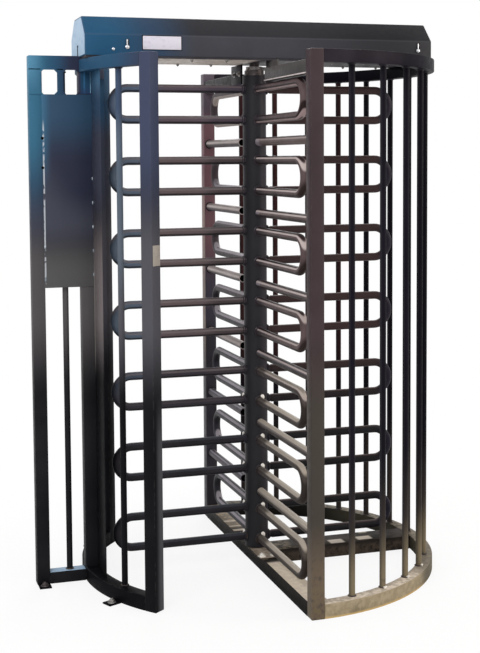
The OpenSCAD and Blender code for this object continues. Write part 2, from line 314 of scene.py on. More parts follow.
# a brown tint on the back bars at mid height, darker bars to the right, sand near the ground at
# the front, and a painted highlight on faces turned to -x
right_coat = coat("black_powder_coat_bars", "#15131a", [
    ("#43292a", 0.9, ("y", 0.36, 0.44), ("z", 0.60, 0.95)),
    ("#0c0a10", 0.75, ("x", 0.50, 0.62)),
    ("#3a3430", 0.8, ("z", 0.62, 0.25)),
    ("#82765f", 0.85, ("z", 0.34, 0.08), ("y", -0.10, -0.35), ("scuff", 0.1, 0.4)),
    ("#3c3a40", 0.4, ("nx", -0.5, -0.9))], level=0.04)
# bands of painted light up the back post, and a painted highlight on its faces turned to -x
back_post_coat = coat("black_powder_coat_back_post", "#36333a", [
    ("#484350", 0.9, ("z", 0.86, 1.10)),
    ("#79585e", 0.9, ("z", 1.15, 1.42), ("z", 2.06, 1.92)),
    ("#665a62", 0.8, ("z", 1.96, 2.10)),
    ("#9a8a80", 0.6, ("nx", -0.6, -0.8), ("z", 0.7, 1.0), ("z", 1.75, 1.5)),
    EDGE_WEAR_AND_HIGHLIGHT], level=0.1)
# painted sunlight mixed with dust on the front half and the tops of the ring, a yellow line of
# sand at its foot, and a darker patch on the right front
ring_coat = coat("dusty_sunlit_powder_coat_ring", "#151311", [
    ("#8f8269", 0.95, ("y", 0.02, -0.30), ("cloud", 0.15, 0.45)),
    ("#ab9c82", 0.6, ("y", -0.10, -0.45), ("scuff", 0.35, 0.65)),
    ("#d6c8b8", 0.9, ("nz", 0.25, 0.6), ("y", 0.15, -0.30)),
    ("#d3b16c", 0.7, ("z", 0.012, 0.003), ("y", 0.0, -0.35)),
    ("#454136", 0.85, ("x", 0.47, 0.60), ("y", -0.62, -0.50)),
    ("#8b8172", 0.7, ("nz", 0.4, 0.9), ("scuff", 0.35, 0.62))], level=0.12, rough=0.6, bump=0.2)
# painted sunlight on the front of the rail's top, painted sunlit stripes between painted shadows
# on its back, some dust, and sides lighter upwards
rail_coat = coat("dusty_sunlit_powder_coat_rail", "#141311", [
    ("#2e2a27", 0.6, ("z", 0.02, 0.055)),
    ("#cdbfb0", 0.9, TOP_FACE, ("y", -0.21, -0.24)),
    ("#d8cbb6", 0.7, TOP_FACE, ("y", -0.21, -0.24), ("scuff", 0.35, 0.65)),
    ("#857868", 0.85, TOP_FACE, ("y", 0.28, 0.34)),
    ("#cdbfae", 0.9, TOP_FACE, ("y", 0.255, 0.262), ("y", 0.290, 0.283)),
    ("#cdbfae", 0.9, TOP_FACE, ("y", 0.325, 0.332), ("y", 0.350, 0.343)),
    ("#d9ccbb", 0.9, TOP_FACE, ("y", 0.405, 0.412), ("y", 0.440, 0.430)),
    ("#b5a590", 0.7, TOP_FACE, ("y", 0.30, 0.36), ("scuff", 0.45, 0.6))],
    level=0.1, rough=0.6, bump=0.2)
# painted sunlit patches on its top between painted shadows, with dust on its low front face and
# near its left end
cross_coat = coat("dusty_sunlit_powder_coat_cross", "#211d1a", [
    ("#4a4038", 0.8, ("ny", -0.5, -0.9), ("z", 0.056, 0.035), ("scuff", 0.30, 0.60)),
    ("#3b342e", 0.7, TOP_FACE, ("cloud", 0.45, 0.55)),
    ("#d6ccc0", 0.9, TOP_FACE, ("x", 0.325, 0.337), ("x", 0.404, 0.390), ("y", -0.062, -0.054),
     ("y", -0.002, -0.012)),
    ("#cfc4b6", 0.9, TOP_FACE, ("x", 0.460, 0.474), ("x", 0.542, 0.528), ("y", -0.050, -0.042),
     ("y", 0.006, -0.006)),
    ("#b8ac9c", 0.8, TOP_FACE, ("x", 0.50, 0.512), ("x", 0.552, 0.540), ("y", 0.040, 0.048)),
    ("#8f8372", 0.7, TOP_FACE, ("x", 0.20, 0.12), ("scuff", 0.35, 0.60))],
    level=0.08, rough=0.6, bump=0.2)
# painted shade: the top ring darker towards the right
top_ring_coat = coat("black_powder_coat_top_ring", "#28242a", [
    ("#110f17", 0.9, ("x", 0.15, 0.55))], level=0.02)
# a painted blue sky reflection, strongest to the left
left_top_coat = coat("black_powder_coat_left_top_ring", "#363e52", [
    ("#2a4f6c", 0.9, ("x", -0.60, -0.71)),
    EDGE_WEAR_AND_HIGHLIGHT], level=0.03, patch=0.2)
rail_top_coat = coat("black_powder_coat_top_rail", "#403d3d", [
    ("#55524f", 0.6, ("z", 2.12, 2.16)),
    EDGE_WEAR_AND_HIGHLIGHT], level=0.13)
# a painted highlight along its lower edge
back_rail_coat = coat("black_powder_coat_back_rail", "#1a161b", [
    ("#4a3b5a", 0.6, ("z", 2.108, 2.102))], level=0.05)
# a painted sheen on the side turned to +x and on up-facing faces, darker lower down, and painted
# shade on the bosses in front
column_coat = coat("black_powder_coat_column", "#252428", [
    ("#2f2b31", 0.9, ("nx", 0.10, 0.45)),
    ("#252426", 0.5, ("z", 0.9, 0.5)),
    ("#1c1b1f", 0.8, ("y", -0.0508, -0.0516)),
    ("#3a343a", 0.6, ("nz", 0.6, 0.9))], level=0.12, patch=0.3)
# Light painted into the colour of a gloss tube, as an open sky would give it: a painted dark line
# on its crown, a painted light streak below that, and a painted dark underside; the streak runs
# round the tube with its height above the eye
LIT = ("nz", 0.62, 0.90)
# bands of painted light up the left wing, painted shade near the column and low down, a painted
# blue sky reflection at the far left, and painted streaks round its tubes
wing_coat = coat("black_powder_coat_wings", "#262428", [
    ("#3a363d", 0.9, ("z", 0.55, 0.80)),
    ("#685a5c", 0.9, ("z", 0.84, 1.10)),
    ("#413a3c", 0.85, ("x", -0.27, -0.17), ("z", 0.70, 1.00)),
    ("#56687a", 0.8, ("x", -0.47, -0.53), ("z", 0.70, 1.00)),
    ("#51485a", 0.5, ("z", 1.80, 2.05)),
    ("#5f7088", 0.85, ("x", -0.38, -0.55), ("z", 1.88, 2.00)),
    ("#3f4148", 0.7, ("nz", 0.45, 0.60), ("z", 0.75, 0.55)),
    ("#7c7273", 0.6, ("nz", 0.20, 0.40), ("nz", 0.85, 0.65), ("z", 0.65, 0.95)),
    ("#3b3338", 0.7, ("nz", 0.78, 0.92), ("z", 0.60, 0.80)),
    ("#1a191c", 0.8, ("nz", -0.25, -0.60))], level=0.1)
# painted light at mid height and on the tubes' tops, darker at the far right
right_wing_coat = coat("black_powder_coat_right_wing", "#19181b", [
    ("#3d2d2d", 0.8, ("z", 0.60, 1.0)),
    ("#5a4a48", 0.5, LIT),
    ("#1f1c28", 0.9, ("x", 0.56, 0.61))], level=0.1)
# painted highlights and painted shade round the tubes, set by their height and facing
PAINTED_TUBE_SHEEN = [
    ("#221716", 0.9, ("nz", -0.05, -0.45), ("z", 1.86, 1.76)),
    ("#c4b6b2", 0.9, ("nz", 0.20, 0.36), ("nz", 0.70, 0.58), ("z", 1.92, 1.80), ("z", 1.14, 1.26)),
    ("#b4a6a2", 0.9, ("nz", 0.40, 0.55), ("nz", 0.84, 0.74), ("z", 1.28, 1.16), ("z", 0.66, 0.84)),
    ("#241819", 0.92, ("nz", 0.66, 0.78), ("z", 1.18, 1.30)),
    ("#241819", 0.92, ("nz", 0.80, 0.90), ("z", 1.30, 1.18), ("z", 0.62, 0.80)),
    ("#1e1112", 0.92, ("nz", -0.06, -0.18), ("nz", -0.54, -0.42), ("z", 1.82, 1.92)),
    ("#a08c8b", 0.85, ("nz", -0.42, -0.54), ("nz", -0.90, -0.80), ("z", 1.82, 1.92)),
    ("#b3a89b", 0.9, ("nz", 0.45, 0.70), ("z", 0.96, 0.80)),
    ("#2a2320", 0.88, ("nz", 0.34, 0.10), ("z", 1.10, 0.90)),
    ("#221d1a", 0.85, ("nx", 0.45, 0.60), ("z", 1.10, 0.90)),
]
# brown grey as painted light, darker low down, painted shadow at the leg roots near the column,
# dust low down, and painted streaks round its tubes
front_wing_coat = coat("black_powder_coat_front_wing", "#564748", [
    ("#463f3b", 0.95, ("z", 1.05, 0.75)),
    ("#332d33", 0.85, ("y", -0.22, -0.12)),
    ("#5c5348", 0.5, ("z", 0.35, 0.15), ("scuff", 0.3, 0.6))] + PAINTED_TUBE_SHEEN + [
    ("#3a322f", 0.85, ("y", -0.20, -0.14), ("z", 1.05, 0.85))], level=0.1)
# bands of painted light up the front comb, lighter near its open ends, and painted streaks round
# its tubes
front_comb_coat = coat("black_powder_coat_front_comb", "#5a4c4b", [
    ("#4f4a52", 0.8, ("z", 1.45, 0.95)),
    ("#665e59", 0.9, ("z", 0.75, 0.60)),
    ("#867d74", 0.9, ("z", 0.48, 0.38)),
    ("#8f8892", 0.7, ("y", -0.125, -0.105), ("z", 0.8, 1.2))] + PAINTED_TUBE_SHEEN, level=0.1)
# painted pale as painted light, with painted highlights round its tubes, a painted dark underside,
# and darker low down
back_comb_coat = coat("black_powder_coat_back_comb", "#8e8280", [
    ("#c3b8b4", 0.9, ("nz", -0.10, 0.10), ("nz", 0.60, 0.40), ("z", 0.80, 1.10)),
    ("#403b46", 0.9, ("z", 0.95, 0.60)),
    ("#9d99a3", 0.8, ("nz", 0.60, 0.75), ("nz", 0.95, 0.88), ("z", 0.95, 0.70)),
    ("#3a3238", 0.9, ("nz", -0.05, -0.40))], level=0.12)
# painted highlights round its tubes and a painted dark underside
back_wing_coat = coat("black_powder_coat_back_wing", "#34323a", [
    ("#4a4044", 0.9, ("z", 0.95, 1.20)),
    ("#a8a1a8", 0.85, ("nz", 0.35, 0.55), ("nz", 0.95, 0.88), ("z", 1.75, 1.60)),
    ("#a89c96", 0.85, ("nz", -0.30, -0.45), ("z", 1.85, 1.95)),
    ("#201e22", 0.8, ("nz", 0.10, -0.25), ("z", 1.75, 1.60))], level=0.1)
# The header's underside is painted pale on the left as a painted light that comes up from the
# ground; the foot plate is paler on the front half of its top; the third window's pocket is
# painted in the sky's blue as a painted reflection, darker below and with a painted highlight on
# one edge, and its lip is painted pale as a painted highlight; beads are under the same paint,
# with a painted highlight on their crowns, and dusty near the ground
under_coat = coat("header_underside_coat", "#38363a", [
    ("#e2d6cc", 0.95, UNDER_FACE, ("x", -0.01, -0.05), ("x", -0.66, -0.60)),
    ("#a3968b", 0.5, UNDER_FACE, ("x", -0.02, -0.15), ("scuff", 0.45, 0.6))], level=0.1)
plate_coat = coat("black_powder_coat_foot_plate", "#28241f", [
    ("#a99b8c", 0.85, TOP_FACE, ("y", 0.02, -0.06)),
    ("#6b5f52", 0.6, ("scuff", 0.5, 0.62))], level=0.12, rough=0.55)
pocket_coat = coat("black_powder_coat_pocket", "#23445f", [
    ("#34648a", 0.8, ("x", -0.752, -0.748), ("x", -0.741, -0.745)),
    ("#2a3a5c", 0.7, ("z", 2.09, 2.05))], level=0.1, patch=0.2)
lip_coat = coat("sheet_lip_painted_highlight", "#7fb0cc", [("#4d7f9e", 0.6, ("scuff", 0.5, 0.62))], level=0.2)
weld_coat = coat("painted_weld_bead", "#26242a", [
    ("#4d484a", 0.6, LIT),
    ("#5c5040", 0.5, ("z", 0.3, 0.1), ("scuff", 0.4, 0.6))], level=0.15)
# Bare and plated steel: turned shaft and collar, dull with grease, the collar's top painted
# lighter as painted light; zinc plated lock barrels; bolts; and ground-off weld spots of bare
# steel, painted near white, partly as a painted glint
shaft_steel = coat("dull_turned_steel_shaft", "#5a5353", [
    ("#3a3434", 0.8, ("cloud", 0.40, 0.60)),
    ("#776d69", 0.5, ("scuff", 0.5, 0.65))], level=0.5, rough=0.45, metallic=0.5, bump=0.15)
collar_steel = coat("dull_turned_steel_collar", "#7e7a7a", [
    ("#4b4545", 0.7, ("scuff", 0.50, 0.65)),
    ("#a8a4a2", 0.5, TOP_FACE)], level=0.5, rough=0.4, metallic=0.4, bump=0.15)
bright_steel = coat("zinc_plated_steel", "#d2d3d8", [
    ("#8d8a88", 0.7, ("scuff", 0.55, 0.7))], level=0.5, rough=0.3, metallic=0.8, patch=0.1)
bolt_steel = coat("bolt_steel", "#9a9794", [
    ("#4e4944", 0.8, ("scuff", 0.48, 0.62))], level=0.5, rough=0.42, metallic=0.7, patch=0.2)
bright_weld = coat("worn_weld_steel_and_glint", "#e9e4dc", [
    ("#9a948c", 0.6, ("scuff", 0.52, 0.66))], level=0.5, rough=0.35, metallic=0.3, patch=0.1)
# Anodised sheet of the bare plate, matt primer on the strike plate, a painted sky reflection on
# the header's end cap, a painted highlight of sunlight on the top rail's lip, painted shade in
# bores, slots and the cable notch with dark paint on screws and the plate's rim, and paint that
# is chipped to pale metal at the sheet's tack welds
bare_plate_sheet = coat("anodised_plate_sheet", "#cfcbd6", [
    ("#bfbac8", 0.5, ("scuff", 0.52, 0.66))], level=0.4, metallic=0.2, patch=0.05)
strike_plate_coat = coat("grey_primed_plate", "#a39a90", [
    ("#7e766e", 0.6, ("scuff", 0.52, 0.66)),
    ("#c3bbb0", 0.6, ROUNDED_EDGE)], level=0.4, rough=0.5, patch=0.2)
sky_end_coat = coat("header_end_coat", "#a3bdd6", [
    ("#8fb0cb", 0.8, ("z", 2.27, 2.21)),
    ("#7fa3bf", 0.5, ("scuff", 0.55, 0.68))], level=0.3, patch=0.1)
pale_edge = coat("sunlit_rail_edge", "#c9bfbd", [
    ("#9a8f8d", 0.6, ("scuff", 0.5, 0.62))], level=0.3, patch=0.1)
dark_paint_and_shade = coat("dark_paint_and_painted_shade", "#050506", [
    ("#171413", 0.6, ("scuff", 0.5, 0.7))], level=0.05, rough=0.7)
chipped_edge = coat("chipped_paint_edge", "#7d8792", [
    ("#c9d0d6", 0.8, ("scuff", 0.45, 0.6))], level=0.3, patch=0.3)


# ---------------------------------------------------------------- meshes
def at(x, y, z):
    """A move."""
    return Matrix.Translation((x, y, z))


def polar(radius, degrees, z):
    """A move to a radius and angle, turned to face outwards."""
    return Matrix.Rotation(math.radians(degrees), 4, "Z") @ at(radius, 0, z)


def moved(bm, place):
    """The same bmesh after a move, turn or stretch."""
    bmesh.ops.transform(bm, matrix=place, verts=bm.verts)
    return bm


def rounded(bm, edges, width, segments=2):
    """Rounds edges of a bmesh, and gives the new faces."""
    return bmesh.ops.bevel(bm, geom=edges, offset=width, segments=segments, profile=0.5,
                           affect="EDGES", material=-1, clamp_overlap=True)["faces"]


def spun(bm, outline, steps):
    """Spins an outline once round +Z and closes it."""
    bmesh.ops.spin(bm, geom=outline, cent=(0, 0, 0), axis=(0, 0, 1), angle=math.tau,
                   steps=steps, use_merge=True, use_duplicate=False)
    bmesh.ops.remove_doubles(bm, verts=bm.verts, dist=1e-6)


def finish(name, bm, material, body):
    """Turns a bmesh into a piece of the object that rides on a body."""
    bmesh.ops.recalc_face_normals(bm, faces=bm.faces)
    mesh = bpy.data.meshes.new(name)
    bm.to_mesh(mesh)
    bm.free()
    for layer in ("custom_normal", "sharp_edge"):
        if layer in mesh.attributes:
            mesh.attributes.remove(mesh.attributes[layer])
    for face in mesh.polygons:
        face.use_smooth = True
    mesh.set_sharp_from_angle(angle=SHARP)
    mesh.materials.append(material)
    piece = bpy.data.objects.new(name, mesh)
    bpy.context.scene.collection.objects.link(piece)
    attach(piece, body)
    return piece


def rounded_tube(node, width, material, body, smallest=0.0):
    """Replaces a folded or square steel node by a copy with its outer edges rounded."""
    bm = bmesh.new()
    bm.from_mesh(nodes[node].data)
    # marks the faces of the rounded edges, which the coats paint a little lighter as wear and
    # highlight
    rounded_edge_faces = bm.faces.layers.float.new("rounded_edge_faces")
    bmesh.ops.remove_doubles(bm, verts=bm.verts, dist=1e-5)
    bmesh.ops.dissolve_limit(bm, angle_limit=math.radians(0.4), verts=bm.verts, edges=bm.edges)
    bmesh.ops.recalc_face_normals(bm, faces=bm.faces)
    edges = [e for e in bm.edges if len(e.link_faces) == 2 and e.calc_face_angle_signed() > SHARP
             and min(f.calc_area() for f in e.link_faces) >= smallest]
    for face in rounded(bm, edges, width):
        face[rounded_edge_faces] = 1.0
    piece = finish(node + "_rounded", bm, material, body)
    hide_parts(node)


def pattern_mesh(bm):
    """A bmesh kept as a mesh, for stamping."""
    bmesh.ops.recalc_face_normals(bm, faces=bm.faces)
    mesh = bpy.data.meshes.new("pattern")
    bm.to_mesh(mesh)
    bm.free()
    return mesh


def stamp(target, pattern, places):
    """Adds a copy of a pattern mesh at each place."""
    for place in places:
        copy = pattern.copy()
        copy.transform(place)
        target.from_mesh(copy)
        bpy.data.meshes.remove(copy)


def stamped(name, pattern, places, material, body):
    """A piece made of copies of one pattern mesh."""
    bm = bmesh.new()
    stamp(bm, pattern, places)
    finish(name, bm, material, body)


def block(size, soften=0.001, segments=2):
    """A box of a size about the origin with softened edges."""
    bm = bmesh.new()
    bmesh.ops.create_cube(bm, size=1.0, matrix=Matrix.Diagonal((*size, 1.0)))
    rounded(bm, bm.edges[:], soften, segments)
    return bm


def drop(radius, stretch):
    """A drop of weld metal: a ball stretched along x, y and z."""
    bm = bmesh.new()
    bmesh.ops.create_icosphere(bm, subdivisions=2, radius=radius,
                               matrix=Matrix.Diagonal((*stretch, 1.0)))
    return pattern_mesh(bm)


def bead(radius, thick, around=24, section=6, ripple=0.12):
    """A weld bead: a ring about +Z with the ripples of a hand weld."""
    bm = bmesh.new()
    ring = bmesh.ops.create_circle(bm, segments=section, radius=thick,
                                   matrix=at(radius, 0, 0) @ UPRIGHT_TO_FRONT)["verts"]
    spun(bm, ring + bm.edges[:], around)
    for vert in bm.verts:
        turn = math.atan2(vert.co.y, vert.co.x)
        vert.co *= 1 + ripple * thick / radius * math.sin(turn * around / 3)
    return pattern_mesh(bm)


def turned_part(profile, steps=24):
    """A part turned about +Z from (radius, height) corners, closed on the axis."""
    bm = bmesh.new()
    verts = [bm.verts.new((r, 0, z)) for r, z in profile]
    edges = [bm.edges.new(pair) for pair in zip(verts, verts[1:])]
    spun(bm, verts + edges, steps)
    return bm


def hex_nut(across, high, washer):
    """A hexagon nut on its washer, with the end of its stud, standing on the XY plane."""
    bm = bmesh.new()
    # the corners of a hexagon lie at 0.577 of its width across the flats
    corner = across * 0.577
    bmesh.ops.create_cone(bm, cap_ends=True, segments=6, radius1=corner, radius2=corner,
                          depth=high, matrix=at(0, 0, high / 2 + washer))
    tops = [e for e in bm.edges if min(v.co.z for v in e.verts) > washer + high * 0.9]
    rounded(bm, tops, high * 0.16)
    bmesh.ops.create_cone(bm, cap_ends=True, segments=24, radius1=across * 0.95,
                          radius2=across * 0.9, depth=washer, matrix=at(0, 0, washer / 2))
    bmesh.ops.create_cone(bm, cap_ends=True, segments=16, radius1=across * 0.28,
                          radius2=across * 0.25, depth=high * 0.5,
                          matrix=at(0, 0, washer + high * 1.2))
    return pattern_mesh(bm)


def window_corner(x, z, degrees):
    """The filled corner of a window: a square of sheet with most of one corner cut off."""
    bm = bmesh.new()
    bmesh.ops.create_cube(bm, size=1.0, matrix=at(0.5, 0, 0.5))
    inner = [e for e in bm.edges if abs(e.verts[0].co.y - e.verts[1].co.y) > 0.5
             and max(v.co.x for v in e.verts) > 0.5 and max(v.co.z for v in e.verts) > 0.5]
    rounded(bm, inner, 0.92, 1)
    return pattern_mesh(moved(bm, at(x, BAND_Y, z) @ Matrix.Rotation(math.radians(degrees), 4, "Y")
                              @ Matrix.Diagonal((WINDOW_CORNER, BAND_DEEP, WINDOW_CORNER, 1.0))))


# ---------------------------------------------------------------- carried over nodes
for name, material in {
    "right_cage_bars": right_coat, "left_cage_bars": gate_bar_coat,
    "front_comb": front_comb_coat, "back_comb": back_comb_coat, "panel_bar": panel_coat,
    "header_floor": under_coat, "upper_bearing": collar_steel, "lower_bearing": plate_coat,
    "rotor_column": column_coat, "rotor_shaft": shaft_steel, "left_wing": wing_coat,
    "right_wing": right_wing_coat, "front_wing": front_wing_coat, "back_wing": back_wing_coat,
}.items():
    for holder in nodes[name].material_slots:
        holder.material = material

for name, material, slot in (
    ("base_rail", rail_coat, "frame_paint"), ("cross_rail", cross_coat, "frame_paint"),
    ("right_base_ring", ring_coat, "frame_paint"), ("left_base_ring", left_coat, "frame_paint"),
    ("right_top_ring", top_ring_coat, "frame_paint"),
    ("left_top_ring", left_top_coat, "frame_paint"),
    ("front_post", front_post_coat, "frame_paint"), ("back_post", back_post_coat, "frame_paint"),
    ("entry_post", entry_coat, "frame_paint"), ("exit_post", exit_coat, "frame_paint"),
    ("front_top_rail", rail_top_coat, "frame_paint"),
    ("back_top_rail", back_rail_coat, "frame_paint"),
    ("panel_outer_post", panel_coat, "panel_paint"),
    ("panel_inner_post", panel_coat, "panel_paint"),
    ("panel_top_rail", panel_coat, "panel_paint"),
    ("panel_bottom_rail", panel_coat, "panel_paint"),
    ("anchor_tabs", left_coat, "frame_paint"),
):
    rounded_tube(name, TUBE_ROUND, material, "frame")
rounded_tube("panel_sheet", SHEET_ROUND, sheet_coat, "frame")
for name in ("header_cover", "header_left_end", "header_right_end"):
    rounded_tube(name, FOLD_ROUND, header_coat, "frame", smallest=SMALLEST_FOLD)

# the filler's two flat strips, one on each side of the inner post, facing the passage
strip = pattern_mesh(block((FILLER_SHEET, FILLER_END - POST_W / 2, TOP_Z - BASE_H), 0.0008))
filler = bmesh.new()
stamp(filler, strip, [at(-POST_IN - FILLER_SHEET / 2, side * (FILLER_END + POST_W / 2) / 2,
                         (TOP_Z + BASE_H) / 2) for side in (-1, 1)])
piece = finish("filler_sheets", filler, filler_coat, "frame")
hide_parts("filler_sheet")

# ---------------------------------------------------------------- rotor details
boss_bead = bead(BOSS_D / 2, 0.0030, around=18)
neck_bead = bead(NECK_D / 2 + 0.0008, 0.0022, around=18)
bare_spot = drop(0.0105, (0.55, 1.0, 1.25))
beads, bare_spots = bmesh.new(), bmesh.new()
for wing in range(4):
    turn = Matrix.Rotation(wing * math.pi / 2, 4, "Z")
    for i in range(HAIRPINS):
        for side in (-1, 1):
            z = HAIRPIN_Z + i * HAIRPIN_PITCH + side * LEG_GAP / 2
            stamp(beads, boss_bead, [turn @ at(COLUMN_R + 0.0008, 0, z) @ UPRIGHT_TO_SIDE])
            stamp(beads, neck_bead, [turn @ at(BOSS_END + 0.0006, 0, z) @ UPRIGHT_TO_SIDE])
            # the paint is knocked off the lowest welds, where carts and boots reach; the bare
            # spots are painted near white, partly as a painted glint
            if z < BARE_BELOW and wing in (2, 3):
                spot_y = (wing - 2.5) * BARE_SPOT_GAP
                stamp(bare_spots, bare_spot, [turn @ at(COLUMN_R + 0.004, spot_y, z + 0.016)])
finish("boss_welds", beads, weld_coat, "rotor")
finish("worn_glinting_weld_spots", bare_spots, bright_weld, "rotor")

# the split ring that clamps the shaft, with its ear and bolts
clamp_out, clamp_flat = SHAFT_R + CLAMP_WALL, SHAFT_R + CLAMP_WALL - CLAMP_ROUND
clamp = moved(turned_part([(SHAFT_R, 0), (clamp_flat, 0), (clamp_out, CLAMP_ROUND),
                           (clamp_out, CLAMP_H - CLAMP_ROUND), (clamp_flat, CLAMP_H),
                           (SHAFT_R, CLAMP_H)], 32), at(0, 0, COLLAR_TOP))
ear = pattern_mesh(block((0.020, 0.016, 0.015)))
stamp(clamp, ear, [at(COLLAR_R, 0, COLLAR_TOP + CLAMP_H / 2)])
finish("shaft_clamp_ring", clamp, collar_steel, "rotor")
small_nut = hex_nut(0.010, 0.006, 0.0015)
stamped("collar_bolts", small_nut, [polar(COLLAR_R - 0.0065, 45 + 90 * i, COLLAR_TOP)
                                    for i in range(4)], bolt_steel, "rotor")

# ---------------------------------------------------------------- frame welds
bar_bead = bead(BAR_D / 2 + 0.001, BEAD)
feet, heads = bmesh.new(), bmesh.new()
bar_turns = [-90 + 180 / (BAR_COUNT + 1) * (i + 1) for i in range(BAR_COUNT)]
bar_turns += [180 - GATE_BAR_ANGLE, 180 + GATE_BAR_ANGLE]
stamp(feet, bar_bead, [polar(BAR_R, turn, BASE_H + BEAD_LIFT) for turn in bar_turns])
stamp(heads, bar_bead, [polar(BAR_R, turn, TOP_Z - BEAD_LIFT) for turn in bar_turns])
stamp(feet, bar_bead, [at(-PANEL_BAR_X, 0, PANEL_RAIL_TOP + BEAD_LIFT)])
stamp(heads, bar_bead, [at(-PANEL_BAR_X, 0, TOP_Z - BEAD_LIFT)])
# bare weld spots at the feet of three bars, painted near white, partly as a painted glint of sun
# on the welds
foot_spot = pattern_mesh(block((0.012, 0.018, 0.009), 0.0035))
stamped("worn_glinting_foot_weld_spots", foot_spot, [polar(BAR_R + 0.013, turn, BASE_H + 0.0025)
                                            for turn in bar_turns[1:4]],
        bright_weld, "frame")
finish("bar_foot_welds", feet, weld_coat, "frame")
finish("bar_head_welds", heads, weld_coat, "frame")

# each comb tube has a bead round its root, and in its open end a dark cup: painted shade of the
# bore
comb_bead = bead(COMB_D / 2 + 0.001, BEAD)
liner = pattern_mesh(turned_part([(0.0, COMB_MOUTH - 0.001), (0.0145, COMB_MOUTH - 0.002),
                                  (0.0147, 0.0035), (0.0140, 0.0030)]))
comb_welds, liners = bmesh.new(), bmesh.new()
for side, gap in ((-1, FRONT_COMB_GAP), (1, BACK_COMB_GAP)):
    lean = Matrix.Rotation(-side * math.pi / 2, 4, "X")
    for i in range(HAIRPINS - 1):
        z = HAIRPIN_Z + (i + 0.5) * HAIRPIN_PITCH - COMB_DROP
        stamp(comb_welds, comb_bead, [at(0, side * (POST_IN - BEAD_LIFT), z) @ lean])
        stamp(liners, liner, [at(0, side * gap, z) @ lean])
finish("comb_welds", comb_welds, weld_coat, "frame")
finish("comb_mouth_liners", liners, dark_paint_and_shade, "frame")

# ---------------------------------------------------------------- bolts and plates
anchor_nut = hex_nut(0.019, 0.009, 0.0025)
stamped("anchor_bolts", anchor_nut, [polar(TAB_R, 180 + GATE_BAR_ANGLE, TAB_TOP),
                                     polar(TAB_R, 180 - EXIT_TAB_ANGLE, TAB_TOP)],
        bolt_steel, "frame")
stamped("foot_plate_bolts", anchor_nut, [at(x, y, BASE_H + FOOT_PLATE)
                                         for x in (-FOOT_BOLT_X, FOOT_BOLT_X)
                                         for y in (-FOOT_BOLT_Y, FOOT_BOLT_Y)],
        bright_weld, "frame")
stamped("panel_anchor_bolt", anchor_nut, [at(-PANEL_X, PANEL_BOLT_Y, TAB_TOP)],
        shaft_steel, "frame")
flip = Matrix.Rotation(math.pi, 4, "X")
stamped("header_floor_bolts", small_nut, [at(x, y, FRAME_H) @ flip for y in FLOOR_BOLT_Y
                                          for x in FLOOR_BOLT_X],
        bolt_steel, "frame")

# two bolts through each plate that hangs a top rail from the header
stamped("hanger_bolts", hex_nut(0.013, 0.008, 0.002),
        [at(-side * HANGER_FACE, side * y, HANGER_BOLT_Z)
         @ Matrix.Rotation(-side * math.pi / 2, 4, "Y") for side in (-1, 1)
         for y in HANGER_BOLT_Y], bolt_steel, "frame")

# strike plate on the flank of the entry post, with its screw
strike = block(STRIKE_SIZE, 0.0008)
screw = pattern_mesh(turned_part([(0.0, 0.0022), (0.0035, 0.002), (0.0055, 0.0)], 16))
stamp(strike, screw, [at(0.0012, 0, 0) @ UPRIGHT_TO_SIDE])
flank = (polar(RING_R, 180 + GATE_ANGLE, STRIKE_Z) @ Matrix.Rotation(math.pi / 2, 4, "Z")
         @ at(POST_W / 2 + 0.0012, 0, 0))
finish("strike_plate", moved(strike, flank), strike_plate_coat, "frame")

# ---------------------------------------------------------------- header details
# two cam locks, each a plate painted dark as the shade of its slot, behind a round barrel and
# its bright tongue, and a small one
lock_slots, lock_barrels = bmesh.new(), bmesh.new()
slot_plate = pattern_mesh(block((0.013, 0.040, 0.0016), 0.0007))
barrel = pattern_mesh(turned_part([(0.0, 0.0062), (0.0048, 0.006), (0.0078, 0.0045),
                                   (0.0085, 0.0)]))
tongue = pattern_mesh(block((0.0060, 0.026, 0.0040), 0.0016))
for x, z in LOCKS:
    stamp(lock_slots, slot_plate, [at(x + 0.002, HEADER_FRONT - 0.0006, z + 0.012)
                                   @ UPRIGHT_TO_FRONT])
    stamp(lock_barrels, barrel, [at(x, HEADER_FRONT - 0.0008, z) @ UPRIGHT_TO_FRONT])
    stamp(lock_barrels, tongue, [at(x, HEADER_FRONT - 0.0026, z + 0.018) @ UPRIGHT_TO_FRONT])
stamp(lock_barrels, barrel, [at(SMALL_LOCK[0], HEADER_FRONT, SMALL_LOCK[1]) @ UPRIGHT_TO_FRONT
                             @ Matrix.Scale(SMALL_LOCK_SCALE, 4)])
finish("header_lock_slots", lock_slots, dark_paint_and_shade, "frame")
finish("header_lock_barrels", lock_barrels, bright_steel, "frame")

# the bare plate on the header's face, in a dark rim, with a rivet near each corner
plate = moved(block(PLATE_SIZE, 0.0006),
              at(PLATE_X, HEADER_FRONT - 0.0008, PLATE_Z) @ UPRIGHT_TO_FRONT)
finish("blank_plate", plate, bare_plate_sheet, "frame")
rim = bmesh.new()
for size, x, z in (((2 * RIM_OUT_X, 0.0016, RIM_W), 0, RIM_OUT_Z),
                   ((2 * RIM_OUT_X, 0.0016, RIM_W), 0, -RIM_OUT_Z),
                   ((RIM_W, 0.0016, 2 * RIM_OUT_Z + 0.002), -RIM_OUT_X, 0),
                   ((RIM_W, 0.0016, 2 * RIM_OUT_Z + 0.002), RIM_OUT_X, 0)):
    stamp(rim, pattern_mesh(block(size, 0.0004)),
          [at(PLATE_X + x, HEADER_FRONT - 0.0006, PLATE_Z + z)])
finish("blank_plate_rim", rim, dark_paint_and_shade, "frame")
rivet = pattern_mesh(turned_part([(0.0, 0.0018), (0.0018, 0.0014), (0.0028, 0.0)], 12))
